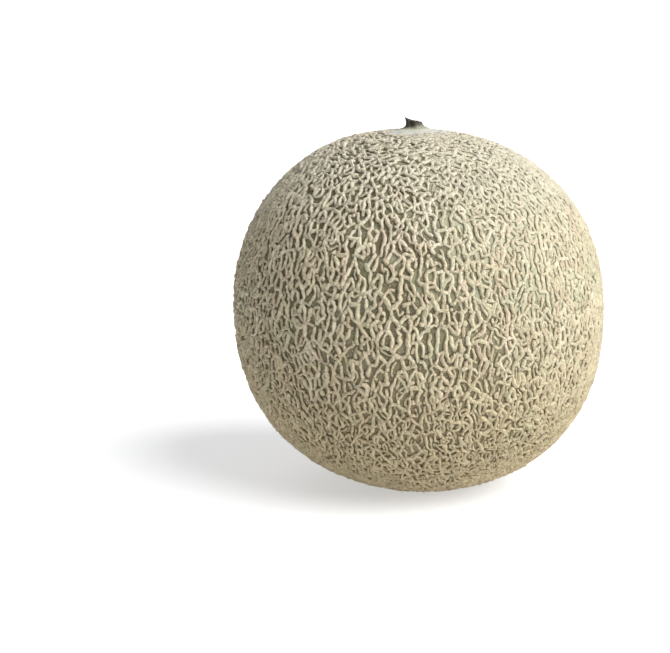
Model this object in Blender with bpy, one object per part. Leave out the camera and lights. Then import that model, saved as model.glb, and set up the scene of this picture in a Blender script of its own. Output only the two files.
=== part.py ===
"""A whole netted melon: a round fruit whose rind carries a raised corky net, and the dry stub of its stem.

Metres, +Z up. The origin is on the flat spot that the fruit rests on, under the middle of its widest part.
"""

import math
import random

import bmesh
import bpy
from mathutils import Vector

# The fruit, measured over its net
FRUIT_RADIUS = 0.075
FRUIT_HALF_HEIGHT = 0.0731
SQUARENESS = 2.25  # exponent of the fruit's side outline: 2 would be an ellipse
LEAN = 0.028  # how far the stem end leans to -X, as a share of the height above the middle
SWELL = 0.006  # uneven growth, as a share of the radius
SWELL_LOBES = 3
SWELL_START = 1.1  # radians
SWELL_TWIST = 2  # radians from the middle of the fruit to either end
STEM_DISH_DEPTH = 0.0011
STEM_DISH_RADIUS = 0.024
STEM_DISC_RADIUS = 0.0085  # smooth skin round the stem
REST_RADIUS = 0.013  # flat spot at the blossom end

# The net, larger than life
CELL_AREA = 0.000112
CELL_LONG_SIDE = 0.0128
CELL_JITTER = 0.3  # as a share of the cell
EDGE_ROW_JITTER = 0.05  # the same for the rows round the two bare discs
SHORTEST_STRAND = 0.0026  # nearer forks than this become one
NET_HEIGHT = 0.0013
STRAND_HALF_WIDTH = (0.0009, 0.0014)  # at its foot
FLOOR_CROWN = 0.0002  # how far a cell's floor bulges at its middle
NET_TURNS_AT = (math.radians(18), math.radians(44))  # cells lie across above this, and stand below
NET_SEED = 4

# The stub of the stem
STEM_GAP = 0.0003
STEM_SIDES = 20
STEM_RIBS = 5
STEM_RIB_DEPTH = 0.09  # as a share of the radius
STEM_FOOT_RADIUS = 0.0061
STEM_NECK_RADIUS = 0.0029
STEM_HEIGHT = 0.0030  # to the middle of its torn end
STEM_BEND = 0.0005
STEM_RING_LEVELS = (0, 0.1, 0.22, 0.42, 0.7, 1)  # shares of the height
FLARE_FALL = 4.5  # how fast the foot narrows to the neck
TEAR_SLOPE = 0.28
TEAR_STARTS_AT = 0.3  # share of the height, below which the rings are level
TEAR_SPIKE = 0.0014
TEAR_SPIKE_SPREAD = 0.55  # radians
PITH_RADIUS_SHARE = 0.55
PITH_DEPTH = 0.0006
SHARP_ANGLE = math.radians(50)

CENTRE_HEIGHT = FRUIT_HALF_HEIGHT * (1 - (REST_RADIUS / FRUIT_RADIUS) ** SQUARENESS) ** (1 / SQUARENESS)

NET_COLOUR = (0.62, 0.54, 0.38, 1)
SKIN_COLOUR = (0.24, 0.28, 0.18, 1)
STEM_COLOUR = (0.09, 0.075, 0.055, 1)


def clear_scene():
    for item in list(bpy.data.objects):
        bpy.data.objects.remove(item, do_unlink=True)


def make_material(name, colour, roughness):
    material = bpy.data.materials.new(name)
    material.use_nodes = True
    shader = material.node_tree.nodes["Principled BSDF"]
    shader.inputs["Base Color"].default_value = colour
    shader.inputs["Roughness"].default_value = roughness
    shader.inputs["Metallic"].default_value = 0
    return material


def smooth_step(value, low, high):
    share = min(1, max(0, (value - low) / (high - low)))
    return share * share * (3 - 2 * share)


def fruit_point(direction):
    """The point of the fruit's outside that lies this way from its middle."""
    across = math.hypot(direction.x, direction.y)
    turn = math.atan2(direction.y, direction.x)
    reach = (
        (across / FRUIT_RADIUS) ** SQUARENESS
        + (abs(direction.z) / FRUIT_HALF_HEIGHT) ** SQUARENESS
    ) ** (-1 / SQUARENESS)
    wave = math.sin(SWELL_LOBES * turn + SWELL_START + SWELL_TWIST * direction.z)
    swell = 1 + SWELL * across**2 * wave
    point = direction * reach * swell
    if direction.z > 0:
        from_stem = math.hypot(point.x, point.y)
        point.z -= STEM_DISH_DEPTH * math.exp(-((from_stem / STEM_DISH_RADIUS) ** 2))
    point.x -= LEAN * point.z
    point.z += CENTRE_HEIGHT
    return point


def cell_sides(polar_angle):
    """Width round the fruit and height up it of a net cell at this angle from the nearer pole."""
    stands = smooth_step(min(polar_angle, math.pi - polar_angle), *NET_TURNS_AT)
    short_side = CELL_AREA / CELL_LONG_SIDE
    height = short_side + (CELL_LONG_SIDE - short_side) * stands
    return CELL_AREA / height, height


def row_angles():
    """Polar angles of the rows of cells, from the ring round the stem disc to the one round the rest spot."""
    first = 2 * STEM_DISC_RADIUS / FRUIT_RADIUS
    last = math.pi - 2 * REST_RADIUS / FRUIT_RADIUS
    rows = [first]
    while rows[-1] < last:
        rows.append(rows[-1] + cell_sides(rows[-1])[1] / FRUIT_RADIUS)
    fit = (last - first) / (rows[-1] - first)
    return [first + (row - first) * fit for row in rows]


def cell_middles():
    """Directions from the fruit's middle to the middle of each net cell, with the two bare discs."""
    draw = random.Random(NET_SEED)
    rows = row_angles()
    middles = [Vector((0, 0, 1)), Vector((0, 0, -1))]
    for row_number, polar in enumerate(rows):
        width, height = cell_sides(polar)
        count = round(2 * math.pi * FRUIT_RADIUS * math.sin(polar) / width)
        loose = EDGE_ROW_JITTER if row_number in (0, len(rows) - 1) else CELL_JITTER
        for place in range(count):
            turn = 2 * math.pi * (place + 0.5 * (row_number % 2) + draw.uniform(-loose, loose)) / count
            tilt = polar + draw.uniform(-loose, loose) * height / FRUIT_RADIUS
            middles.append(
                Vector((
                    math.sin(tilt) * math.cos(turn),
                    math.sin(tilt) * math.sin(turn),
                    math.cos(tilt),
                ))
            )
    return middles


def dual_mesh_group():
    """Geometry nodes that turn each point of a mesh into a face round it."""
    group = bpy.data.node_groups.new("Cells round points", "GeometryNodeTree")
    group.interface.new_socket("Geometry", in_out="INPUT", socket_type="NodeSocketGeometry")
    group.interface.new_socket("Geometry", in_out="OUTPUT", socket_type="NodeSocketGeometry")
    start = group.nodes.new("NodeGroupInput")
    dual = group.nodes.new("GeometryNodeDualMesh")
    end = group.nodes.new("NodeGroupOutput")
    group.links.new(start.outputs[0], dual.inputs[0])
    group.links.new(dual.outputs[0], end.inputs[0])
    return group


def cell_mesh():
    """A closed mesh on the unit sphere with one face for each net cell."""
    hull = bmesh.new()
    for middle in cell_middles():
        hull.verts.new(middle)
    bmesh.ops.convex_hull(hull, input=hull.verts)
    mesh = bpy.data.meshes.new("cell_middles")
    hull.to_mesh(mesh)
    hull.free()
    guide = bpy.data.objects.new("cell_middles", mesh)
    bpy.context.scene.collection.objects.link(guide)
    modifier = guide.modifiers.new("Cells", "NODES")
    modifier.node_group = dual_mesh_group()
    graph = bpy.context.evaluated_depsgraph_get()
    cells = bpy.data.meshes.new_from_object(guide.evaluated_get(graph))
    bpy.data.objects.remove(guide, do_unlink=True)
    return cells


def face_nearest(bm, direction):
    return max(bm.faces, key=lambda face: face.calc_center_median().normalized().dot(direction))


def level_face(face, height):
    for vert in face.verts:
        vert.co.z = height


def raise_net(bm, cells):
    """Sinks each cell's floor, which leaves the strands of the net standing between the cells."""
    draw = random.Random(NET_SEED)
    for cell in cells:
        bmesh.ops.inset_individual(
            bm,
            faces=[cell],
            thickness=draw.uniform(*STRAND_HALF_WIDTH),
            depth=-NET_HEIGHT,
            use_even_offset=True,
        )
        cell.material_index = 1
    bmesh.ops.poke(bm, faces=cells, offset=FLOOR_CROWN)


def add_solid(name, bm, collection, materials):
    bmesh.ops.recalc_face_normals(bm, faces=bm.faces)
    mesh = bpy.data.meshes.new(name)
    bm.to_mesh(mesh)
    bm.free()
    for material in materials:
        mesh.materials.append(material)
    solid = bpy.data.objects.new(name, mesh)
    collection.objects.link(solid)
    return solid


def make_fruit(collection):
    """The fruit with its net. Returns the middle of the level disc that the stem grows from."""
    bm = bmesh.new()
    bm.from_mesh(cell_mesh())
    bmesh.ops.recalc_face_normals(bm, faces=bm.faces)
    stem_disc = face_nearest(bm, Vector((0, 0, 1)))
    rest_spot = face_nearest(bm, Vector((0, 0, -1)))
    for vert in bm.verts:
        vert.co = fruit_point(vert.co.normalized())
    bmesh.ops.remove_doubles(bm, verts=bm.verts, dist=SHORTEST_STRAND)
    level_face(stem_disc, stem_disc.calc_center_median().z)
    level_face(rest_spot, 0)
    disc_middle = stem_disc.calc_center_median()
    raise_net(bm, [face for face in bm.faces if face not in (stem_disc, rest_spot)])
    net = make_material("corky_net", NET_COLOUR, 0.75)
    skin = make_material("green_skin", SKIN_COLOUR, 0.45)
    add_solid("melon_fruit", bm, collection, [net, skin])
    return disc_middle


def stem_rings():
    """Height, radius and sideways bend of each ring of the stub, from its flared foot to its torn end."""
    for level in STEM_RING_LEVELS:
        flare = math.exp(-FLARE_FALL * level)
        radius = STEM_NECK_RADIUS + (STEM_FOOT_RADIUS - STEM_NECK_RADIUS) * flare
        yield level * STEM_HEIGHT, radius, -STEM_BEND * level**2


def tear_height(turn, radius):
    """How far the torn end stands above its middle height at this turn round the stem."""
    from_spike = math.remainder(turn - math.pi, 2 * math.pi)
    spike = TEAR_SPIKE * math.exp(-((from_spike / TEAR_SPIKE_SPREAD) ** 2))
    return -TEAR_SLOPE * radius * math.cos(turn) + spike


def place_ring(verts, foot, height, radius, bend, torn):
    for number, vert in enumerate(verts):
        turn = 2 * math.pi * number / STEM_SIDES
        reach = radius * (1 + STEM_RIB_DEPTH * math.cos(STEM_RIBS * turn))
        lift = torn * tear_height(turn, radius)
        offset = (reach * math.cos(turn) + bend, reach * math.sin(turn), height + lift)
        vert.co = foot + Vector(offset)


def ordered_ring(face, middle):
    """The face's corners in order of their turn round the stem."""
    return sorted(
        face.verts,
        key=lambda vert: math.atan2(vert.co.y - middle.y, vert.co.x - middle.x) % (2 * math.pi - 1e-4),
    )


def make_stem(collection, foot):
    """The dry stub: a ribbed neck on a flared foot, torn off aslant with one spike left standing."""
    foot = foot + Vector((0, 0, STEM_GAP))
    rings = list(stem_rings())
    bm = bmesh.new()
    bmesh.ops.create_circle(bm, cap_ends=True, segments=STEM_SIDES, radius=STEM_FOOT_RADIUS)
    top = next(iter(bm.faces))
    bmesh.ops.translate(bm, verts=bm.verts, vec=foot)
    place_ring(ordered_ring(top, foot), foot, *rings[0], torn=0)
    base = top
    for height, radius, bend in rings[1:]:
        grown = bmesh.ops.extrude_face_region(bm, geom=[top])
        if top is not base:
            bm.faces.remove(top)
        top = next(item for item in grown["geom"] if isinstance(item, bmesh.types.BMFace))
        torn = smooth_step(height / STEM_HEIGHT, TEAR_STARTS_AT, 1)
        place_ring(ordered_ring(top, foot), foot, height, radius, bend, torn)
    bmesh.ops.inset_individual(
        bm, faces=[top], thickness=STEM_NECK_RADIUS * (1 - PITH_RADIUS_SHARE), depth=-PITH_DEPTH
    )
    bark = make_material("dry_stem", STEM_COLOUR, 0.85)
    stem = add_solid("melon_stem", bm, collection, [bark])
    stem.data.shade_smooth()
    stem.data.set_sharp_from_angle(angle=SHARP_ANGLE)


def main():
    clear_scene()
    melon = bpy.data.collections.new("netted_melon")
    bpy.context.scene.collection.children.link(melon)
    disc_middle = make_fruit(melon)
    make_stem(melon, disc_middle)


main()
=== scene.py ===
"""A whole netted melon: green skin, the corky net that stands on it and the dry stub of its stem.

Metres, +Z up. The fruit stands on its blossom end at the origin, and its stem end leans a little to -X.
"""

import math
import random

import bmesh
import bpy
import numpy as np
from bpy.props import FloatProperty, FloatVectorProperty, IntProperty, PointerProperty
from mathutils import Matrix, Vector, noise


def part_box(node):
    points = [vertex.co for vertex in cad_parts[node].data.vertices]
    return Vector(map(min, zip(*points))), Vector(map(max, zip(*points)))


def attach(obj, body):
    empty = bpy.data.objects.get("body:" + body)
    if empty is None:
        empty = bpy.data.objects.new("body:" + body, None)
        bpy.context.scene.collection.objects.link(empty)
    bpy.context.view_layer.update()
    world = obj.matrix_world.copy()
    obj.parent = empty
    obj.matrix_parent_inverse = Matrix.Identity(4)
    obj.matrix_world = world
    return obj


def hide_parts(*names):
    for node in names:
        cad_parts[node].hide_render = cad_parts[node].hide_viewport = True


bl_info = {
    "name": "Netted melon",
    "version": (1, 0, 0),
    "blender": (4, 5, 0),
    "location": "View3D > Sidebar > Melon",
    "description": "Grows a whole netted melon with its skin, its corky net and the dry stub of its stem",
    "category": "Add Mesh",
}

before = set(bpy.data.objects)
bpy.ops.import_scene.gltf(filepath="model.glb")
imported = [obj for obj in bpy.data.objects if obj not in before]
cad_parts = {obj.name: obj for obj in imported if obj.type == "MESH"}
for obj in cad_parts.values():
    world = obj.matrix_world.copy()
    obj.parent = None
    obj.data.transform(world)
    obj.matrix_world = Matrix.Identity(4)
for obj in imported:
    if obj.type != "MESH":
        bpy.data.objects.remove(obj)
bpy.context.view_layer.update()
STEM_LOW, STEM_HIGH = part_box("melon_stem")

PHOTO_SIZE = (670, 653)
MELON_PIXEL = (419, 306.5)  # the middle of the fruit in the photograph
SENSOR = 36  # the camera's, in millimetres

# Uneven growth of the fruit, as in its solid
SWELL_LOBES = 3
SWELL_START = 1.1
SWELL_TWIST = 2

SKIN_DETAIL = 7  # how often the ball that the skin starts as is divided
MOUND = 0.00008  # how far the skin rises and falls

STUB_SIDES = 80
STUB_FLARE = 3.1  # how fast the stub's foot narrows
STUB_SPREAD = 0.8  # how much slower it narrows on the +X side
STUB_RINGS = (-0.19, -0.1, 0, 0.08, 0.16, 0.22, 0.27, 0.33, 0.41, 0.52, 0.66, 0.8, 0.94, 1.06, 1.16)
TORN_RINGS = ((0.07, 0.02), (0.12, -0.10), (0.16, -0.14), (0.2, 0.03), (0.2, 0.08))  # widths and steps up

# A strand's section: places across it and up it, as shares of its half width and height
SECTION = ((-1.3, -0.16), (-0.88, 0.58), (-0.38, 1), (0.38, 1), (0.88, 0.58), (1.3, -0.16))
CRUST = 0.00011  # how far a vertex of a strand strays
END_REACH = 0.72  # how far past its last place a free end runs, as a share of its half width
END_SIZE = 0.62  # and its size there
STEP = 0.00098  # between a strand's rings
SHORT_STEP = 0.4 * STEP  # a shorter one gives no sure direction
MERGE = 0.0003  # corners of cells that are closer than this are one
WALL_STRAY = 0.0052  # how far a wall's places stray to its sides, as a share of the radius
RUN_ON = 0.93  # how likely two walls in line are to be one strand
WANDER = 0.34  # how much a grown strand turns at each step
HOLD = 0.14  # how firmly it keeps to the way it set out
DODGE = 0.5  # how far it turns from a strand in its way
BARE_TOP = math.radians(9.8)  # from the stem to the first strands

# The six sides of the fruit, each the direction out of it, across its map and up its map
SIDES = {
    "front": ((0, -1, 0), (1, 0, 0), (0, 0, 1)),
    "right": ((1, 0, 0), (0, 1, 0), (0, 0, 1)),
    "back": ((0, 1, 0), (-1, 0, 0), (0, 0, 1)),
    "left": ((-1, 0, 0), (0, -1, 0), (0, 0, 1)),
    "stem_end": ((0, 0, 1), (1, 0, 0), (0, 1, 0)),
    "blossom_end": ((0, 0, -1), (1, 0, 0), (0, -1, 0)),
}
MAP_SPREAD = math.radians(54)  # from the middle of a side's map to its edge
UNDERSIDE_MAP = 0.02  # the share of a map that the hidden undersides of the strands take

FLOOR_SIZE = 60
FLOOR_GLOW = (0.97, 0.98, 1, 1)
FLOOR_GLOW_STRENGTH = 0.48
WORLD_STRENGTH = 0.04
# Soft lights: the place that each shines from, its width in degrees and its strength
LIGHTS = {
    "key_light": ((0.62, -0.33, 0.57), 56, 5.15),
    "top_light": ((0.3, -0.2, 1), 120, 0.62),
    "back_light": ((-0.35, 0.9, 0.28), 90, 1.1),
}

# Minor colours of the finishes
WHITE = (1, 1, 1, 1)
LOW_SKIN = (0.20, 0.16, 0.075, 1)
SKIN_SPECK = (0.55, 0.52, 0.38, 1)
DISC_CRACK = (0.22, 0.215, 0.17, 1)
WORN_SCAR = (0.24, 0.185, 0.10, 1)
SCAR_CRACK = (0.15, 0.11, 0.06, 1)
CORK_CRUMB = (0.33, 0.27, 0.16, 1)
CORK_BLOTCH = (0.40, 0.33, 0.20, 1)
# painted shade at the foot of each strand, where it meets the skin
CORK_FOOT_SHADE = (0.15, 0.125, 0.065, 1)
CORK_PORE = (0.20, 0.16, 0.09, 1)
GREY_FIBRE = (0.20, 0.20, 0.14, 1)
BARK_DUST = (0.34, 0.30, 0.22, 1)


def length_setting(name, description, default):
    return FloatProperty(name=name, description=description, default=default, unit="LENGTH")


def share_setting(name, description, default):
    return FloatProperty(name=name, description=description, default=default, subtype="FACTOR")


def colour_setting(name, description, *default):
    return FloatVectorProperty(
        name=name, description=description, subtype="COLOR", size=4, default=(*default, 1)
    )


class FruitSettings(bpy.types.PropertyGroup):
    """The size of the fruit and the look of its skin."""

    radius: length_setting("Radius", "Half the fruit's width over its net", 0.075)
    half_height: length_setting("Half height", "From the widest part up to the undished stem end", 0.0731)
    squareness: FloatProperty(
        name="Squareness",
        description="Exponent of the side outline below the widest part: 2 is an ellipse",
        default=2.25,
        min=2,
    )
    shoulder: FloatProperty(
        name="Shoulder",
        description="Exponent of the side outline above the widest part: 2 is an ellipse",
        default=2.13,
        min=2,
    )
    lean: share_setting("Lean", "How far the stem end leans to -X, as a share of the height", 0.028)
    swell: share_setting("Swell", "Uneven growth, as a share of the radius", 0.006)
    dish_depth: length_setting("Dish depth", "How far the top is pulled in round the stem", 0.0011)
    dish_radius: length_setting("Dish radius", "How wide the top is pulled in", 0.024)
    rest_radius: length_setting("Rest radius", "Radius of the flat spot at the blossom end", 0.013)
    skin_colour: colour_setting("Skin", "The green skin between the strands", 0.135, 0.115, 0.058)
    bloom_colour: colour_setting("Bloom", "The greyer patches of the skin", 0.25, 0.25, 0.155)
    # painted light: the bloom patches as they look when lit, used at the upper right where the key light
    # falls
    painted_lit_bloom_colour: colour_setting("Pale bloom", "Those patches at the upper right", 0.42, 0.42, 0.28)
    disc_colour: colour_setting("Stem disc", "The bare skin round the stem", 0.54, 0.535, 0.475)
    scar_colour: colour_setting("Blossom scar", "The corky scar that the blossom left", 0.40, 0.31, 0.185)


class NetSettings(bpy.types.PropertyGroup):
    """How the corky net grows, and its colours."""

    seed: IntProperty(name="Seed", description="Which net grows", default=7)
    height: length_setting("Height", "How far the strands stand above the skin", 0.00112)
    half_width: length_setting("Half width", "Half the width of a usual strand", 0.00069)
    cell: length_setting("Cell", "Least distance between the middles of two cells", 0.0020)
    cell_tries: IntProperty(name="Cell tries", description="How many cells are tried for", default=17000)
    draw_up: share_setting("Draw up", "How far the cells are drawn out up the sides", 0.35)
    gone: share_setting("Walls missing", "Share of the cells' walls that didn't grow", 0.10)
    cut: share_setting("Walls open", "Share of the cells' walls that grew only at their ends", 0.08)
    spacing: length_setting("Spacing", "Least distance between the middles of two strands", 0.00156)
    cork_colour: colour_setting("Cork", "The usual colour of the strands", 0.62, 0.545, 0.375)
    tan_colour: colour_setting("Tan", "The darker strands", 0.49, 0.42, 0.28)
    pale_colour: colour_setting("Pale", "The palest strands", 0.72, 0.66, 0.49)
    pink_colour: colour_setting("Pink", "The few pink strands", 0.60, 0.43, 0.33)
    leaf_colour: colour_setting("Leaf", "The few green strands", 0.45, 0.48, 0.32)
    # partly painted highlight: the greyer net round the stem, carried down over the upper side of the fruit
    top_and_highlight_colour: colour_setting("Top", "The greyer net round the stem", 0.68, 0.645, 0.53)
    bottom_colour: colour_setting("Bottom", "The ochre net at the blossom end", 0.49, 0.38, 0.20)


class StemSettings(bpy.types.PropertyGroup):
    """The dry stub of the stem."""

    neck_radius: length_setting("Neck radius", "Radius of the stub where it was torn off", 0.0028)
    foot_radius: length_setting("Foot radius", "Radius of the flare that runs out into the skin", 0.0066)
    height: length_setting("Height", "Height to the middle of the torn end", 0.0030)
    bark_colour: colour_setting("Bark", "The dead top of the stub", 0.045, 0.04, 0.03)
    foot_colour: colour_setting("Foot", "The grey-green foot of the stub", 0.36, 0.36, 0.26)
    skirt_colour: colour_setting("Skirt", "The edge of the foot, as bare skin", 0.48, 0.475, 0.40)


class StageSettings(bpy.types.PropertyGroup):
    """The floor, the light and the camera."""

    elevation: FloatProperty(
        name="Elevation",
        description="How far the camera looks down",
        subtype="ANGLE",
        default=math.radians(11),
    )
    distance: length_setting("Distance", "From the camera to the middle of the fruit", 0.757)
    lens: FloatProperty(name="Lens", description="Focal length in millimetres", default=100)
    floor_colour: colour_setting("Floor", "The pale floor", 0.68, 0.68, 0.68)


class Shade:
    """A number or colour that varies over a surface. Python's signs on it add Math nodes."""

    def __init__(self, finish, socket):
        self.finish = finish
        self.socket = socket

    def maths(self, operation, *values):
        return self.finish.node("ShaderNodeMath", {"operation": operation}, values)

    def __add__(self, other):
        return self.maths("ADD", self, other)

    def __sub__(self, other):
        return self.maths("SUBTRACT", self, other)

    def __rsub__(self, other):
        return self.maths("SUBTRACT", other, self)

    def __mul__(self, other):
        return self.maths("MULTIPLY", self, other)

    def __truediv__(self, other):
        return self.maths("DIVIDE", self, other)

    def __pow__(self, other):
        return self.maths("POWER", self, other)

    def __abs__(self):
        return self.maths("ABSOLUTE", self)

    __radd__ = __add__
    __rmul__ = __mul__


class Finish:
    """One material, written as expressions on what varies over the surface."""

    def __init__(self, name):
        self.material = bpy.data.materials.new(name)
        self.material.use_nodes = True
        self.tree = self.material.node_tree
        self.shader = self.tree.nodes["Principled BSDF"]
        self.place = self.node("ShaderNodeTexCoord", output="Object")

    def node(self, kind, settings=None, values=(), output=0):
        """Adds a node, sets it up, then fills its sockets with values or links, by name or in order."""
        node = self.tree.nodes.new(kind)
        for name, setting in (settings or {}).items():
            setattr(node, name, setting)
        pairs = values.items() if isinstance(values, dict) else enumerate(values)
        for key, value in pairs:
            self.feed(node.inputs[key], value)
        return Shade(self, node.outputs[output])

    def feed(self, socket, value):
        if isinstance(value, Shade):
            self.tree.links.new(value.socket, socket)
        else:
            socket.default_value = value

    def paint(self, **values):
        """Fills the shader's own sockets: base_color is Base Color, and so on."""
        for name, value in values.items():
            self.feed(self.shader.inputs[name.replace("_", " ").title()], value)
        return self.material

    def attribute(self, name):
        return self.node("ShaderNodeAttribute", {"attribute_name": name}, output="Fac")

    def axis(self, name):
        return self.node("ShaderNodeSeparateXYZ", None, [self.place], output=name)

    def noise(self, scale, detail=3, roughness=0.55, place=None):
        values = {"Vector": place or self.place, "Scale": scale, "Detail": detail, "Roughness": roughness}
        return self.node("ShaderNodeTexNoise", None, values)

    def specks(self, scale):
        """Distance from the middle of the nearest of many scattered specks."""
        return self.node("ShaderNodeTexVoronoi", None, {"Vector": self.place, "Scale": scale})

    def stretched(self, x, y, z):
        """The surface's coordinates with each axis scaled."""
        return self.node("ShaderNodeMapping", None, {"Vector": self.place, "Scale": (x, y, z)})

    def ramp(self, value, low, high):
        """0 below low and 1 above high, with a soft step between."""
        values = {"Value": value, "From Min": low, "From Max": high}
        return self.node("ShaderNodeMapRange", {"interpolation_type": "SMOOTHSTEP"}, values)

    def height_share(self, low, high):
        """0 at one height above the floor and 1 at the other, wandering a little."""
        return self.ramp(self.axis("Z") + (self.noise(30, detail=2) - 0.5) * 0.02, low, high)

    def wave(self, value):
        """The sine of a number."""
        return self.node("ShaderNodeMath", {"operation": "SINE"}, [value])

    def round_mark(self, middle, inner, outer):
        """1 by an upright line at this x and 0 further out, and the distance from it, wandering a little."""
        x = self.axis("X") - middle
        y = self.axis("Y")
        away = (x * x + y * y) ** 0.5 + (self.noise(160, detail=2) - 0.5) * 0.004
        return 1 - self.ramp(away, inner, outer), away

    def mix(self, share, low, high):
        return self.node("ShaderNodeMix", {"data_type": "RGBA"}, {0: share, 6: low, 7: high}, output=2)

    def bump(self, height, distance, strength=1):
        values = {"Height": height, "Distance": distance, "Strength": strength}
        return self.node("ShaderNodeBump", None, values)


def skin_finish(fruit, stem_foot):
    """Waxy green skin with paler patches and specks, bare round the stem and scarred where it rests. At the
    upper right the patches are more and paler, as painted light.
    """
    finish = Finish("green_skin")
    # painted light: lit_side is 1 at the upper right, which faces the key light; there the patches are made
    # more and paler
    lit_side = finish.ramp(finish.axis("X") * 0.8 + finish.axis("Z") * 0.6, 0.045, 0.125)
    patches = finish.ramp(finish.noise(120, detail=4) + lit_side * 0.24, 0.45, 0.69)
    bloom_and_painted_light = finish.mix(lit_side, fruit.bloom_colour, fruit.painted_lit_bloom_colour)
    green = finish.mix(patches, fruit.skin_colour, bloom_and_painted_light)
    green = finish.mix(finish.height_share(0.095, 0.035) * 0.8, green, LOW_SKIN)
    specks = 1 - finish.ramp(finish.specks(1100), 0.16, 0.34)
    speckled = finish.mix(specks * 0.55, green, SKIN_SPECK)
    on_top = finish.ramp(finish.axis("Z"), fruit.half_height, 2 * fruit.half_height)
    disc, from_stem = finish.round_mark(stem_foot.x, 0.014, 0.021)
    disc = disc * on_top
    broken_up = finish.ramp(finish.noise(300), 0.42, 0.56)
    rings = finish.ramp(finish.wave(from_stem * 2300 + finish.noise(420) * 6), 0.0, 0.9) * broken_up
    ringed = finish.mix(rings * 0.62, fruit.disc_colour, DISC_CRACK)
    scar, _ = finish.round_mark(fruit.lean * floor_height(fruit), 0.0085, 0.0115)
    scar = scar * (1 - on_top)
    cracks = 1 - finish.ramp(abs(finish.noise(250, detail=5, roughness=0.6) - 0.5), 0.004, 0.045)
    wear_and_shade = finish.ramp(finish.noise(110, detail=4), 0.4, 0.62)
    scarred = finish.mix(wear_and_shade * 0.45, fruit.scar_colour, WORN_SCAR)
    scarred = finish.mix(cracks * 0.6, scarred, SCAR_CRACK)
    grain = finish.noise(1800, detail=3)
    relief = grain * 0.5 + specks * 0.6 + finish.noise(420, detail=2)
    return finish.paint(
        base_color=finish.mix(scar, finish.mix(disc, speckled, ringed), scarred),
        roughness=finish.ramp(grain, 0.2, 0.8) * 0.15 + 0.47 + scar * 0.25,
        normal=finish.bump(relief - rings * disc - cracks * scar * 2, 0.00022, 0.6),
    )


def cork_finish(net):
    """Dry cork: pale on top and darker down its sides as painted shade, mottled, pored, and split along some
    strands. The greyer net round the stem is partly a painted highlight.
    """
    finish = Finish("corky_net")
    tone = finish.attribute("tone")
    mottle = finish.noise(260, detail=4)
    base = finish.mix(finish.ramp(tone + mottle * 0.5, 0.35, 0.75), net.tan_colour, net.cork_colour)
    base = finish.mix(finish.ramp(tone + mottle * 0.4, 0.85, 1.25), base, net.pale_colour)
    pink = finish.ramp(finish.noise(38, detail=2) + mottle * 0.25, 0.72, 0.84)
    base = finish.mix(pink * 0.22, base, net.pink_colour)
    leaf = finish.noise(30, detail=2, place=finish.stretched(-1, 1, 1)) + mottle * 0.2
    base = finish.mix(finish.ramp(leaf, 0.70, 0.82) * 0.4, base, net.leaf_colour)
    hue = finish.node("ShaderNodeMath", {"operation": "FRACT"}, [tone * 7.3 + mottle * 0.3])
    base = finish.mix(finish.ramp(hue, 0.72, 0.9) * 0.32, base, net.pink_colour)
    base = finish.mix((1 - finish.ramp(hue, 0.1, 0.3)) * 0.3, base, net.leaf_colour)
    # partly painted highlight: the greyer net round the stem reaches down over the upper side of the fruit
    base = finish.mix(finish.height_share(0.095, 0.138) * 0.6, base, net.top_and_highlight_colour)
    base = finish.mix(finish.height_share(0.095, 0.010) * 0.62, base, net.bottom_colour)
    crumbs = finish.noise(1100, detail=4)
    base = finish.mix(finish.ramp(crumbs, 0.54, 0.72) * 0.5, base, CORK_CRUMB)
    blotches = finish.ramp(finish.noise(430, detail=3, place=finish.stretched(1, -1, 1)), 0.52, 0.70)
    base = finish.mix(blotches * 0.3, base, CORK_BLOTCH)
    base = finish.mix((1 - finish.ramp(crumbs, 0.30, 0.44)) * 0.4, base, net.pale_colour)
    # painted shade: each strand darkens down its sides to its foot, as if shaded where it meets the skin
    foot = 1 - finish.ramp(finish.attribute("rise") + (crumbs - 0.5) * 0.5, 0.12, 0.62)
    wear_and_shade = finish.mix(foot * 0.85, base, CORK_FOOT_SHADE)
    pores = 1 - finish.ramp(finish.specks(2300), 0.10, 0.30)
    crest = 1 - finish.ramp(abs(finish.attribute("across")), 0.05, 0.30)
    fissure = crest * finish.attribute("split") * finish.ramp(finish.noise(700), 0.35, 0.55)
    relief = crumbs * 1.5 + finish.noise(2600, detail=2) * 0.5 - fissure * 0.4 - pores * 0.4
    return finish.paint(
        base_color=finish.mix(fissure * 0.25 + pores * 0.2, wear_and_shade, CORK_PORE),
        roughness=0.74 + mottle * 0.2,
        normal=finish.bump(relief, 0.0007),
    )


def bark_finish(stem):
    """Dead stem: grey-green where it leaves the fruit, black-brown and fibrous where it was torn."""
    finish = Finish("dry_stem")
    fibres = finish.noise(900, detail=4, place=finish.stretched(1, 1, 0.16))
    height = (finish.axis("Z") - STEM_LOW.z) / (STEM_HIGH.z - STEM_LOW.z)
    slant = height - (finish.axis("X") - STEM_LOW.x) * 28 + 0.19
    dead = finish.ramp(slant + (fibres - 0.5) * 0.7, 0.12, 0.42)
    grey = finish.mix(finish.ramp(fibres, 0.35, 0.65), GREY_FIBRE, stem.foot_colour)
    colour = finish.mix(dead, grey, stem.bark_colour)
    skirt = 1 - finish.ramp(height + (fibres - 0.5) * 0.1, 0.0, 0.14)
    colour = finish.mix(skirt, colour, stem.skirt_colour)
    dust = finish.ramp(finish.noise(1500, detail=3), 0.58, 0.74)
    return finish.paint(
        base_color=finish.mix(dust * 0.35, colour, BARK_DUST),
        roughness=0.8 + fibres * 0.15,
        normal=finish.bump(fibres, 0.0004),
    )


def smooth_step(values, low, high):
    """0 below low and 1 above high, with a soft step between, for an array."""
    share = np.clip((values - low) / (high - low), 0, 1)
    return share * share * (3 - 2 * share)


def step_at(value, low, high):
    """The same for one number."""
    share = min(1.0, max(0.0, (value - low) / (high - low)))
    return share * share * (3 - 2 * share)


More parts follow.
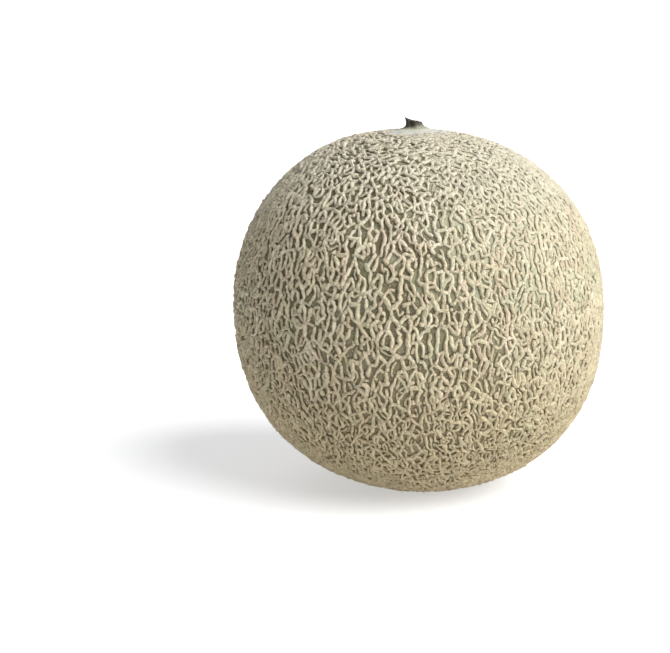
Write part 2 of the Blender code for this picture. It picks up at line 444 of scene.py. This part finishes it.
def floor_height(fruit):
    """How far below the middle of the fruit its flat rest spot lies."""
    return fruit.half_height * (1 - (fruit.rest_radius / fruit.radius) ** fruit.squareness) ** (
        1 / fruit.squareness
    )


def fruit_surface(fruit, directions):
    """Where the crests of the net lie in these directions from the fruit's middle, and the way out there."""
    x, y, z = directions.T
    across = np.hypot(x, y)
    power = np.where(z > 0, fruit.shoulder, fruit.squareness)
    share = (across / fruit.radius) ** power + (np.abs(z) / fruit.half_height) ** power
    wave = np.sin(SWELL_LOBES * np.arctan2(y, x) + SWELL_START + SWELL_TWIST * z)
    reach = share ** (-1 / power) * (1 + fruit.swell * across**2 * wave)
    points = directions * reach[:, None]
    flat = np.maximum(across, 1e-9) ** (power - 2) / fruit.radius**power
    steep = np.abs(z) ** (power - 1) * np.sign(z) / fruit.half_height**power
    normals = np.stack([x * flat, y * flat, steep], 1)
    normals /= np.linalg.norm(normals, axis=1)[:, None]
    from_stem = np.hypot(points[:, 0], points[:, 1])
    points[:, 2] -= np.where(z > 0, fruit.dish_depth * np.exp(-((from_stem / fruit.dish_radius) ** 2)), 0)
    return points, normals


def stand(fruit, points):
    """Leans points about the fruit's middle and stands them on the floor, flat where they would reach it."""
    share = np.clip(points[:, 2] / fruit.half_height, 0, 1)
    points[:, 0] -= fruit.lean * points[:, 2] * (1 - 3 * share * (1 - share))
    points[:, 2] = np.maximum(points[:, 2] + floor_height(fruit), 0)
    return points


def net_depth(polar, depth):
    """How far the skin lies under the crests: not at all round the stem, and all of depth further out."""
    return depth * (0.12 + 0.88 * smooth_step(polar, math.radians(6), math.radians(17)))


def polar_angle(directions):
    """The angles between these directions and the way up."""
    return np.arccos(np.clip(directions[:, 2], -1, 1))


def angle_from_stem(way):
    """The same for one direction."""
    return math.acos(max(-1, min(1, way.z)))


def select_only(piece):
    bpy.ops.object.select_all(action="DESELECT")
    piece.select_set(True)
    bpy.context.view_layer.objects.active = piece


def coordinates(mesh):
    found = np.empty(len(mesh.vertices) * 3)
    mesh.vertices.foreach_get("co", found)
    return found.reshape(-1, 3)


def add_values(mesh, name, values):
    layer = mesh.attributes.new(name, "FLOAT", "POINT")
    layer.data.foreach_set("value", np.asarray(values, np.float32))


def dress(piece, material, node):
    """Gives a finished piece its material and its place in the frame."""
    piece.data.materials.clear()
    piece.data.materials.append(material)
    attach(piece, "root")
    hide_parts(node)


def add_skin(fruit, depth):
    """The closed skin under the net."""
    bpy.ops.object.select_all(action="DESELECT")
    bpy.ops.mesh.primitive_ico_sphere_add(subdivisions=SKIN_DETAIL, radius=1, location=(0, 0, 0))
    skin = bpy.context.object
    skin.name = "melon_skin"
    directions = coordinates(skin.data)
    directions /= np.linalg.norm(directions, axis=1)[:, None]
    points, normals = fruit_surface(fruit, directions)
    mounds = np.array([noise.fractal(Vector(way) * 24, 0.6, 2, 3) for way in directions])
    sunk = net_depth(polar_angle(directions), depth) - mounds * MOUND
    stood = stand(fruit, points - normals * sunk[:, None])
    skin.data.vertices.foreach_set("co", stood.ravel())
    skin.data.update()
    bpy.ops.object.shade_smooth()
    add_skin_map(skin.data, fruit)
    return skin


def add_skin_map(mesh, fruit):
    """Lays the six sides of the skin out in a map of three by two tiles."""
    ways = corner_ways(mesh, fruit)
    faces = ways.reshape(-1, 3, 3).sum(1)
    leaves_by = np.repeat(np.argmax([faces @ np.array(axes[0], float) for axes in SIDES.values()], 0), 3)
    places = np.empty((len(ways), 2))
    for number, name in enumerate(SIDES):
        held = leaves_by == number
        tile = np.array([number % 3, number // 3])
        places[held] = (tile + side_map(ways[held], name)) / (3, 2)
    while mesh.uv_layers:
        mesh.uv_layers.remove(mesh.uv_layers[0])
    add_map(mesh, places)


class Ground:
    """The strands grown so far, kept in small boxes so that neighbours are found fast."""

    def __init__(self, box):
        self.box = box
        self.kept = {}

    def home(self, place):
        return tuple(int(value // self.box) for value in place)

    def add(self, places, strand):
        for place in places:
            self.kept.setdefault(self.home(place), []).append((place, strand))

    def around(self, place):
        """All that is kept in the box of a place and the boxes beside it."""
        a, b, c = self.home(place)
        return [
            held
            for i in (a - 1, a, a + 1)
            for j in (b - 1, b, b + 1)
            for k in (c - 1, c, c + 1)
            for held in self.kept.get((i, j, k), ())
        ]

    def nearest(self, place, reach, besides=None):
        """The nearest point of another strand within reach, which is at most a box's side, or None."""
        found = None
        for other, strand in self.around(place):
            distance = (other - place).length
            if strand is not besides and distance < reach:
                reach = distance
                found = other
        return found


class Sort:
    """One sort of strand: how long and wide it is, how far apart, how high, and how it starts and ends."""

    def __init__(self, tries, length, width, apart, joins, height, branches=False):
        self.tries = tries
        self.length = length
        self.width = width
        self.apart = apart
        self.joins = joins
        self.height = height
        self.branches = branches


# Cell walls come first. Branches and short strands fill the cells, and dots stand in what is left
WALLS = Sort(0, None, (0.84, 1.26), 0, 0, 1.0)
SORTS = (
    Sort(12000, (0.0020, 0.0060), (0.72, 1.02), 0.95, 0.95, 0.88, True),
    Sort(64000, (0.0018, 0.0070), (0.66, 1.02), 0.88, 0.90, 0.82),
    Sort(6000, (0.0004, 0.0012), (0.60, 0.84), 0.84, 0.3, 0.62),
)


def any_way(draw):
    return Vector((draw.gauss(0, 1), draw.gauss(0, 1), draw.gauss(0, 1))).normalized()


def across_share(polar):
    """How likely a strand is to lie round the fruit and not up it, at this angle from the stem."""
    top = 1 - step_at(polar, math.radians(24), math.radians(66))
    bottom = 0.5 * step_at(polar, math.radians(112), math.radians(140))
    return max(top, bottom)


def bears_net(way, fruit):
    """Whether strands grow here: not on the flat rest spot, nor in an uneven ring round the stem."""
    bare_top = BARE_TOP * (1 + 0.45 * noise.noise(way * 9))
    return -math.cos(0.75 * fruit.rest_radius / fruit.radius) < way.z < math.cos(bare_top)


def crowding(way, ends=1):
    """The share of the usual spacing that strands keep here: less at the right, below and round the stem."""
    right = step_at(way.x, 0.0, 0.75)
    below = step_at(-way.z, 0.05, 0.75)
    above = step_at(way.z, 0.84, 0.96)
    patches = 0.14 * noise.noise(way * 4 + Vector((3, 1, 2)))
    return 1.04 - 0.15 * right - ends * (0.33 * below + 0.04 * above) + patches


def fineness(way):
    """The share of the usual width that strands have here: finer at both ends of the fruit."""
    below = step_at(-way.z, 0.05, 0.8)
    above = step_at(way.z, 0.84, 0.96)
    return 1 - 0.24 * below - 0.06 * above


def boldness(way):
    """The share of the usual height that strands have here: lower at the upper right, low round the stem."""
    return 1 - 0.36 * step_at(0.8 * way.x + 0.6 * way.z, 0.2, 0.9)


def cell_middles(net, radius, draw):
    """Middles of the net's cells: closer where it is finer, and further apart the way the strands lie."""
    ground = Ground(net.cell * 1.5)
    middles = []
    for _ in range(net.cell_tries):
        way = any_way(draw)
        place = way * radius
        upward = (Vector((0, 0, 1)) - way * way.z).normalized()
        polar = angle_from_stem(way)
        longer = 1.7 - 1.38 * across_share(polar)
        top = 1 - step_at(polar, math.radians(22), math.radians(50))
        least = (net.cell * crowding(way, 0) * (1 + 1.15 * top)) ** 2
        for other, _ in ground.around(place):
            gap = other - place
            up = gap.dot(upward) ** 2
            if up / longer + (gap.length_squared - up) * longer < least:
                break
        else:
            ground.add([place], None)
            middles.append(way)
    return middles


def cell_walls(middles, merge):
    """Corners of the cells round these middles, and the pairs of corners that walls join."""
    hull = bmesh.new()
    for way in middles:
        hull.verts.new(way)
    bmesh.ops.convex_hull(hull, input=hull.verts)
    hull.normal_update()
    hull.faces.ensure_lookup_table()
    hull.faces.index_update()
    corners = [face.normal * math.copysign(1, face.normal.dot(face.verts[0].co)) for face in hull.faces]
    beside = [tuple(face.index for face in edge.link_faces) for edge in hull.edges]
    pairs = [pair for pair in beside if len(pair) == 2]
    hull.free()
    same = list(range(len(corners)))

    def stands_for(corner):
        while same[corner] != corner:
            corner = same[corner]
        return corner

    for a, b in pairs:
        if (corners[a] - corners[b]).length < merge:
            same[stands_for(a)] = stands_for(b)
    walls = {tuple(sorted((stands_for(a), stands_for(b)))) for a, b in pairs}
    return corners, [pair for pair in sorted(walls) if pair[0] != pair[1]]


def drawn_up(way, amount):
    """A direction moved towards its end of the fruit, which draws the cells out up the sides."""
    polar = angle_from_stem(way)
    moved = polar - 0.5 * amount * math.sin(2 * polar)
    share = math.sin(moved) / max(1e-9, math.sin(polar))
    return Vector((way.x * share, way.y * share, math.cos(moved)))


def broken(corners, walls, fruit, net, draw):
    """The walls without the bare ends of the fruit and a few others. Some walls keep only their ends."""
    kept = []
    for a, b in walls:
        middle = (corners[a] + corners[b]).normalized()
        if not bears_net(middle, fruit):
            continue
        lies = abs((corners[b] - corners[a]).normalized().cross(middle).z)
        askew = abs(lies / math.hypot(middle.x, middle.y) - across_share(angle_from_stem(middle)))
        chance = draw.random() / (0.3 + 2.4 * askew * (1 + 1.5 * step_at(middle.z, 0.8, 0.92)))
        if chance < net.gone:
            continue
        if chance < net.gone + net.cut:
            for corner, other in ((a, b), (b, a)):
                if draw.random() < 0.7:
                    share = draw.uniform(0.2, 0.42)
                    corners.append((corners[corner] * (1 - share) + corners[other] * share).normalized())
                    kept.append((corner, len(corners) - 1))
            continue
        kept.append((a, b))
    return kept


def traced(corners, walls, draw):
    """Strands that run on through the corners: their corners in order, and which ends are free."""
    meeting = {}
    for number, pair in enumerate(walls):
        for corner in pair:
            meeting.setdefault(corner, []).append(number)

    def far_end(corner, wall):
        return walls[wall][1] if walls[wall][0] == corner else walls[wall][0]

    def way_out(corner, wall):
        return (corners[far_end(corner, wall)] - corners[corner]).normalized()

    onward = {}
    for corner, held in meeting.items():
        left = list(held)
        draw.shuffle(left)
        while len(left) > 1:
            wall = left.pop()
            best = min(left, key=lambda other: way_out(corner, wall).dot(way_out(corner, other)))
            if way_out(corner, wall).dot(way_out(corner, best)) < -0.1 and draw.random() < RUN_ON:
                onward[corner, wall] = best
                onward[corner, best] = wall
                left.remove(best)
    seen = set()
    for first in range(len(walls)):
        if first in seen:
            continue
        seen.add(first)
        line = list(walls[first])
        for _ in range(2):
            wall = onward.get((line[-1], first))
            while wall is not None and wall not in seen:
                seen.add(wall)
                line.append(far_end(line[-1], wall))
                wall = onward.get((line[-1], wall))
            line.reverse()
        yield line, tuple(len(meeting[corner]) == 1 for corner in (line[0], line[-1]))


def drawn_out(line, corners, radius, draw):
    """Places a step apart along a line of corners, wandering a little to the sides."""
    places = [corners[line[0]] * radius]
    for a, b in zip(line, line[1:]):
        span = corners[b] - corners[a]
        side = corners[a].cross(span).normalized()
        count = max(1, round(span.length * radius / STEP))
        for number in range(1, count + 1):
            off = side * (draw.gauss(0, WALL_STRAY) if number < count else 0)
            places.append((corners[a] + span * (number / count) + off).normalized() * radius)
    return places


def heading_at(way, draw):
    """The direction that a strand sets out in."""
    lies = draw.random() < across_share(angle_from_stem(way))
    stray = 0.6 * noise.noise(way * 5) + draw.gauss(0, 0.38)
    turn = (math.pi / 2 if lies else 0) + stray * (1 - 0.5 * step_at(way.z, 0.75, 0.92))
    east = Vector((-way.y, way.x, 0)).normalized()
    return way.cross(east) * math.cos(turn) + east * math.sin(turn)


def grow_one_way(ground, radius, sort, apart, seed, heading, most, draw, parent=None):
    """Grows a strand's points from a seed. It turns from a strand beside it, and may run into one ahead."""
    places = []
    tip = seed
    course = heading
    while len(places) * STEP < most:
        swing = draw.gauss(0, WANDER) + (draw.uniform(-1, 1) if draw.random() < 0.18 else 0)
        besides = parent if len(places) < 3 else None
        for attempt in range(2):
            course = (Matrix.Rotation(swing, 3, tip) @ course + heading * HOLD).normalized()
            reached = (tip + course * STEP).normalized() * radius
            course = (reached - tip).normalized()
            other = ground.nearest(reached, apart, besides)
            if not other or attempt:
                break
            swing = math.copysign(DODGE, (other - tip).cross(course).dot(tip))
        if other:
            gap = other - tip
            if gap.length > SHORT_STEP and draw.random() < sort.joins and gap.normalized().dot(course) > -0.1:
                count = max(1, round(gap.length / STEP))
                shares = (number / count for number in range(1, count + 1))
                return places + [(tip + gap * share).normalized() * radius for share in shares], True
            return places, False
        places.append(reached)
        tip = reached
    return places, False


def branch_out(strands, ground, radius, spacing, sort, draw):
    """A strand that forks off one that is there already, or None."""
    parent = draw.randrange(len(strands))
    along = strands[parent]["places"]
    spot = draw.randrange(1, len(along))
    onward = along[spot] - along[spot - 1]
    if onward.length < SHORT_STEP:
        return None
    way = along[spot] / radius
    fork = draw.gauss(0.75, 0.2) * draw.choice((-1, 1))
    heading = Matrix.Rotation(fork, 3, way) @ (onward.normalized() * draw.choice((-1, 1)))
    apart = spacing * sort.apart * crowding(way)
    most = draw.uniform(*sort.length)
    ahead, joined = grow_one_way(ground, radius, sort, apart, along[spot], heading, most, draw, parent)
    return ([along[spot], *ahead], (False, not joined)) if len(ahead) > 1 else None


def start_alone(fruit, ground, radius, spacing, sort, draw):
    """A strand that starts in a gap, or None."""
    way = any_way(draw)
    apart = spacing * sort.apart * crowding(way)
    if not bears_net(way, fruit):
        return None
    if ground.nearest(way * radius, apart):
        return None
    heading = heading_at(way, draw)
    most = draw.uniform(*sort.length) / 2
    ahead, joined_ahead = grow_one_way(ground, radius, sort, apart, way * radius, heading, most, draw)
    behind, joined_behind = grow_one_way(ground, radius, sort, apart, way * radius, -heading, most, draw)
    places = [*reversed(behind), way * radius, *ahead]
    return (places, (not joined_behind, not joined_ahead)) if len(places) > 1 else None


def grow_net(fruit, net):
    """All strands: the places of each on a ball of the fruit's radius, its free ends, sizes and tone."""
    draw = random.Random(net.seed)
    radius = fruit.radius
    ground = Ground(net.spacing * 1.4)
    strands = []

    def keep(sort, places, free):
        ground.add(places, len(strands))
        strands.append({
            "places": places,
            "free": free,
            "width": net.half_width * draw.uniform(*sort.width) * fineness(places[0] / radius),
            "height": net.height * sort.height * draw.uniform(0.84, 1.06) * boldness(places[0] / radius),
            "tone": draw.uniform(0.25, 1) if sort is WALLS else draw.uniform(0, 0.8),
            "split": 1.0 if sort is WALLS and draw.random() < 0.22 else 0.0,
        })

    corners, walls = cell_walls(cell_middles(net, radius, draw), MERGE / radius)
    corners = [drawn_up(corner, net.draw_up) for corner in corners]
    walls = broken(corners, walls, fruit, net, draw)
    for line, free in traced(corners, walls, draw):
        keep(WALLS, drawn_out(line, corners, radius, draw), free)
    for sort in SORTS:
        for _ in range(sort.tries):
            if sort.branches:
                grown = branch_out(strands, ground, radius, net.spacing, sort, draw)
            else:
                grown = start_alone(fruit, ground, radius, net.spacing, sort, draw)
            if grown:
                keep(sort, *grown)
    return strands


def eased(places):
    """The places with each one but the ends drawn towards its neighbours, which takes out the kinks."""
    soft = places.copy()
    soft[1:-1] = 0.5 * places[1:-1] + 0.25 * (places[:-2] + places[2:])
    return soft


def strand_rings(strand, draw):
    """Places of a strand's rings and their sizes, with rounded free ends."""
    places = eased(np.array(strand["places"]))
    swells = np.array([noise.noise(Vector(place) * 210) for place in places])
    sizes = np.clip(1 + 0.42 * swells + np.array([draw.gauss(0, 0.14) for _ in places]), 0.5, 1.45)
    for end in (0, 1):
        places = places[::-1]
        sizes = sizes[::-1]
        if strand["free"][end]:
            onward = places[-1] - places[-2]
            onward /= np.linalg.norm(onward)
            reach = strand["width"] * sizes[-1]
            places = np.vstack([places, places[-1] + onward * reach * END_REACH])
            sizes = np.append(sizes, sizes[-1] * END_SIZE)
        else:
            sizes[-1] = 1.1
    return places, sizes


def side_of(way):
    """The side of the fruit that a direction leaves by."""
    return max(SIDES, key=lambda name: way.dot(Vector(SIDES[name][0])))


def side_map(ways, name):
    """Places from 0 to 1 on a side's own map."""
    out, across, up = (ways @ np.array(axis, float) for axis in SIDES[name])
    spread = np.stack([np.arctan2(across, out), np.arctan2(up, out)], 1)
    return np.clip(0.5 + 0.5 * spread / MAP_SPREAD, 0, 1)


def corner_ways(mesh, fruit):
    """For each corner of each face, the direction of its vertex from the fruit's middle."""
    found = np.empty(len(mesh.loops), np.int32)
    mesh.loops.foreach_get("vertex_index", found)
    ways = (coordinates(mesh) - (0, 0, floor_height(fruit)))[found]
    return ways / np.linalg.norm(ways, axis=1)[:, None]


def add_map(mesh, places):
    """The map, named OFBake, that this mesh's pattern can be baked to."""
    layer = mesh.uv_layers.new(name="OFBake")
    layer.uv.foreach_set("vector", places.astype(np.float32).ravel())


def sideways(points, normals, starts, ends):
    """The direction across its strand at each point. A strand's points run from its start to its end."""
    along = np.empty_like(points)
    along[1:-1] = points[2:] - points[:-2]
    along[starts] = points[starts + 1] - points[starts]
    along[ends - 1] = points[ends - 1] - points[ends - 2]
    side = np.cross(normals, along)
    return side / np.maximum(np.linalg.norm(side, axis=1), 1e-12)[:, None]


def strand_faces(starts, ends, corners):
    """Faces round strands whose rings have this many corners: all walls first, then the ends."""
    first = np.setdiff1d(np.arange(ends[-1]), ends - 1)[:, None] * corners
    here = np.arange(corners)
    after = (here + 1) % corners
    walls = np.stack([first + here, first + corners + here, first + corners + after, first + after], 2)
    rears = starts[:, None] * corners + here
    fronts = (ends - 1)[:, None] * corners + here[::-1]
    return [*walls.reshape(-1, 4).tolist(), *rears.tolist(), *fronts.tolist()]


def strand_verts(ways, sizes, facts, starts, ends, fruit, net, draw):
    """Vertices of the strands' rings, one ring for each way out of the fruit."""
    points, normals = fruit_surface(fruit, ways)
    side = sideways(points, normals, starts, ends)
    polar = polar_angle(ways)
    skin = points - normals * net_depth(polar, net.height)[:, None]
    flatten = 0.3 + 0.7 * smooth_step(polar, math.radians(8), math.radians(20))
    across, rise = np.array(SECTION, float).T
    width = (facts["width"] * sizes)[:, None, None] * across[None, :, None]
    height = (facts["height"] * sizes * flatten)[:, None, None] * rise[None, :, None]
    stray = np.random.default_rng(draw.randrange(1 << 30)).normal(0, CRUST, (2, *height.shape))
    stray[1] *= flatten[:, None, None]
    verts = skin[:, None] + side[:, None] * (width + stray[0]) + normals[:, None] * (height + stray[1])
    return stand(fruit, verts.reshape(-1, 3))


def add_strands(name, strands, fruit, net, draw):
    """One piece that holds these strands, each a closed body whose foot is sunk in the skin."""
    rings = [strand_rings(strand, draw) for strand in strands]
    counts = [len(places) for places, _ in rings]
    ends = np.cumsum(counts)
    starts = ends - counts
    ways = np.vstack([places for places, _ in rings])
    ways /= np.linalg.norm(ways, axis=1)[:, None]
    sizes = np.concatenate([sizes for _, sizes in rings])
    facts = {
        key: np.repeat([strand[key] for strand in strands], counts)
        for key in ("width", "height", "tone", "split")
    }
    corners = len(SECTION)
    mesh = bpy.data.meshes.new(name)
    verts = strand_verts(ways, sizes, facts, starts, ends, fruit, net, draw)
    mesh.from_pydata(verts, [], strand_faces(starts, ends, corners))
    piece = bpy.data.objects.new(name, mesh)
    bpy.context.scene.collection.objects.link(piece)
    across, rise = np.array(SECTION, float).T
    add_values(mesh, "across", np.tile(across, len(ways)))
    add_values(mesh, "rise", np.tile(np.clip(rise, 0, 1), len(ways)))
    add_values(mesh, "tone", np.repeat(facts["tone"], corners))
    add_values(mesh, "split", np.repeat(facts["split"], corners))
    places = side_map(corner_ways(mesh, fruit), name.removeprefix("net_"))
    spans = len(ways) - len(strands)
    undersides = np.arange(spans * corners * 4).reshape(-1, corners, 4)[:, -1].ravel()
    places[undersides] *= UNDERSIDE_MAP
    add_map(mesh, places)
    select_only(piece)
    bpy.ops.object.shade_smooth()
    return piece


def stem_foot(fruit):
    """Where the middle of the stub stands on the fruit."""
    crest, _ = fruit_surface(fruit, np.array([[0.0, 0.0, 1.0]]))
    return Vector(stand(fruit, crest)[0])


def stub_shape(stem, points):
    """Turns a plain upright drum with a radius of 1 into a flared, ribbed and torn stub."""
    x, y, level = points.T
    turn = np.arctan2(y, x)
    share = np.hypot(x, y)
    flare = np.exp(-(STUB_FLARE - STUB_SPREAD * np.cos(turn)) * level)
    radius = stem.neck_radius + (stem.foot_radius - stem.neck_radius) * flare
    ribs = 1 + 0.09 * np.cos(5 * turn) * (1 - 0.5 * flare)
    fibres = np.array([
        noise.noise(Vector((math.cos(a) * 7, math.sin(a) * 7, up * 1.1))) for a, up in zip(turn, level)
    ])
    folds = np.array([
        noise.noise(Vector((math.cos(a) * 1.6, math.sin(a) * 1.6, 4 + up))) for a, up in zip(turn, level)
    ])
    reach = share * radius * (ribs + 0.10 * fibres * smooth_step(level, 0, 0.3) + 0.13 * folds)
    spike = np.exp(-((np.abs(turn) - math.pi) / 0.8) ** 2)
    ragged = 0.00035 * fibres + 0.00025 * folds
    lift = smooth_step(level, 0.3, 1) * (-0.13 * reach * np.cos(turn) + share**2 * (0.0015 * spike + ragged))
    height = level * stem.height + lift
    bend = (0.0003 + 0.0008 * spike * share**2) * level**2
    return np.stack([reach * np.cos(turn) - bend, reach * np.sin(turn), height], 1)


def add_stub(stem, foot):
    """The stub: a disc drawn up ring by ring, with a sunk and torn end."""
    bpy.ops.object.select_all(action="DESELECT")
    bpy.ops.mesh.primitive_circle_add(vertices=STUB_SIDES, radius=1, fill_type="NGON", location=(0, 0, 0))
    stub = bpy.context.object
    stub.name = "stem_stub"
    bpy.ops.object.mode_set(mode="EDIT")
    bpy.ops.mesh.select_all(action="SELECT")
    for low, high in zip(STUB_RINGS, STUB_RINGS[1:]):
        bpy.ops.mesh.extrude_region_move(TRANSFORM_OT_translate={"value": (0, 0, high - low)})
    for thickness, depth in TORN_RINGS:
        bpy.ops.mesh.inset(thickness=thickness, depth=depth)
    bpy.ops.mesh.select_all(action="SELECT")
    bpy.ops.mesh.normals_make_consistent(inside=False)
    bpy.ops.object.mode_set(mode="OBJECT")
    shaped = stub_shape(stem, coordinates(stub.data) + (0, 0, STUB_RINGS[0])) + np.array(foot)
    stub.data.vertices.foreach_set("co", shaped.ravel())
    smooth = stub.modifiers.new("round", "SUBSURF")
    smooth.levels = 1
    smooth.render_levels = 1
    bpy.ops.object.modifier_apply(modifier=smooth.name)
    bpy.ops.object.shade_smooth()
    return stub


class MELON_OT_skin(bpy.types.Operator):
    """Adds the fruit's green skin"""

    bl_idname = "melon.skin"
    bl_label = "Skin"

    def execute(self, context):
        fruit = context.scene.melon_fruit
        skin = add_skin(fruit, context.scene.melon_net.height)
        dress(skin, skin_finish(fruit, stem_foot(fruit)), "melon_fruit")
        return {"FINISHED"}


class MELON_OT_net(bpy.types.Operator):
    """Grows the corky net, one piece for each side of the fruit"""

    bl_idname = "melon.net"
    bl_label = "Net"

    def execute(self, context):
        fruit = context.scene.melon_fruit
        net = context.scene.melon_net
        draw = random.Random(net.seed + 1)
        cork = cork_finish(net)
        strands = {name: [] for name in SIDES}
        for strand in grow_net(fruit, net):
            strands[side_of(strand["places"][len(strand["places"]) // 2])].append(strand)
        for name, held in strands.items():
            dress(add_strands(f"net_{name}", held, fruit, net, draw), cork, "melon_fruit")
        return {"FINISHED"}


class MELON_OT_stem(bpy.types.Operator):
    """Adds the dry stub of the stem"""

    bl_idname = "melon.stem"
    bl_label = "Stem stub"

    def execute(self, context):
        stem = context.scene.melon_stem
        stub = add_stub(stem, stem_foot(context.scene.melon_fruit))
        dress(stub, bark_finish(stem), "melon_stem")
        return {"FINISHED"}


class MELON_OT_stage(bpy.types.Operator):
    """Adds the floor, the lights and the camera"""

    bl_idname = "melon.stage"
    bl_label = "Floor, light and camera"

    def execute(self, context):
        stage = context.scene.melon_stage
        fruit = context.scene.melon_fruit
        middle = Vector((0, 0, floor_height(fruit)))
        self.add_floor(stage)
        for name, facts in LIGHTS.items():
            self.add_light(name, *facts)
        self.add_world(context.scene)
        self.add_camera(context.scene, stage, middle)
        context.scene.view_settings.view_transform = "Standard"
        return {"FINISHED"}

    def add_floor(self, stage):
        bpy.ops.mesh.primitive_plane_add(size=FLOOR_SIZE, location=(0, 0, 0))
        floor = bpy.context.object
        floor.name = "floor"
        finish = Finish("pale_floor")
        floor.data.materials.append(finish.paint(
            base_color=stage.floor_colour,
            roughness=0.6,
            emission_color=FLOOR_GLOW,
            emission_strength=FLOOR_GLOW_STRENGTH,
        ))

    def add_light(self, name, place, width, strength):
        """A soft light as wide as this angle, which is the same all over the floor."""
        bpy.ops.object.light_add(type="SUN", location=place)
        light = bpy.context.object
        light.name = name
        light.data.angle = math.radians(width)
        light.data.energy = strength
        light.rotation_euler = Vector(place).to_track_quat("Z", "Y").to_euler()

    def add_world(self, scene):
        scene.world = scene.world or bpy.data.worlds.new("white_studio")
        scene.world.use_nodes = True
        tree = scene.world.node_tree
        dim = tree.nodes["Background"]
        dim.inputs["Color"].default_value = WHITE
        dim.inputs["Strength"].default_value = WORLD_STRENGTH
        white = tree.nodes.new("ShaderNodeBackground")
        white.inputs["Color"].default_value = WHITE
        seen = tree.nodes.new("ShaderNodeLightPath")
        blend = tree.nodes.new("ShaderNodeMixShader")
        tree.links.new(seen.outputs["Is Camera Ray"], blend.inputs["Fac"])
        tree.links.new(dim.outputs[0], blend.inputs[1])
        tree.links.new(white.outputs[0], blend.inputs[2])
        tree.links.new(blend.outputs[0], tree.nodes["World Output"].inputs["Surface"])

    def add_camera(self, scene, stage, target):
        """A camera that has the fruit's middle at its place in the photograph."""
        back = Vector((0, -math.cos(stage.elevation), math.sin(stage.elevation)))
        bpy.ops.object.camera_add(location=target + back * stage.distance)
        camera = bpy.context.object
        camera.data.lens = stage.lens
        camera.data.sensor_width = SENSOR
        focal_pixels = stage.lens / SENSOR * PHOTO_SIZE[0]
        to_left = math.atan((MELON_PIXEL[0] - PHOTO_SIZE[0] / 2) / focal_pixels)
        to_floor = math.atan((PHOTO_SIZE[1] / 2 - MELON_PIXEL[1]) / focal_pixels)
        straight = (-back).to_track_quat("-Z", "Y").to_matrix()
        aimed = Matrix.Rotation(to_left, 3, "Z") @ straight @ Matrix.Rotation(-to_floor, 3, "X")
        camera.rotation_euler = aimed.to_euler()
        scene.camera = camera


class MELON_PT_panel(bpy.types.Panel):
    """The melon's pieces and their settings"""

    bl_label = "Netted melon"
    bl_idname = "MELON_PT_panel"
    bl_space_type = "VIEW_3D"
    bl_region_type = "UI"
    bl_category = "Melon"

    def draw(self, context):
        for operator, settings in PIECES:
            box = self.layout.box()
            box.operator(operator.bl_idname)
            group = getattr(context.scene, settings)
            for name in group.bl_rna.properties.keys():
                if name not in ("rna_type", "name"):
                    box.prop(group, name)


PIECES = (
    (MELON_OT_skin, "melon_fruit"),
    (MELON_OT_net, "melon_net"),
    (MELON_OT_stem, "melon_stem"),
    (MELON_OT_stage, "melon_stage"),
)
SETTINGS = {
    "melon_fruit": FruitSettings,
    "melon_net": NetSettings,
    "melon_stem": StemSettings,
    "melon_stage": StageSettings,
}
CLASSES = (*SETTINGS.values(), *(operator for operator, _ in PIECES), MELON_PT_panel)


def register():
    for kind in CLASSES:
        bpy.utils.register_class(kind)
    for name, kind in SETTINGS.items():
        setattr(bpy.types.Scene, name, PointerProperty(type=kind))


def unregister():
    for name in SETTINGS:
        delattr(bpy.types.Scene, name)
    for kind in reversed(CLASSES):
        bpy.utils.unregister_class(kind)


def main():
    register()
    bpy.ops.melon.skin()
    bpy.ops.melon.net()
    bpy.ops.melon.stem()
    bpy.ops.melon.stage()
    bpy.context.view_layer.update()


if __name__ == "__main__":
    main()
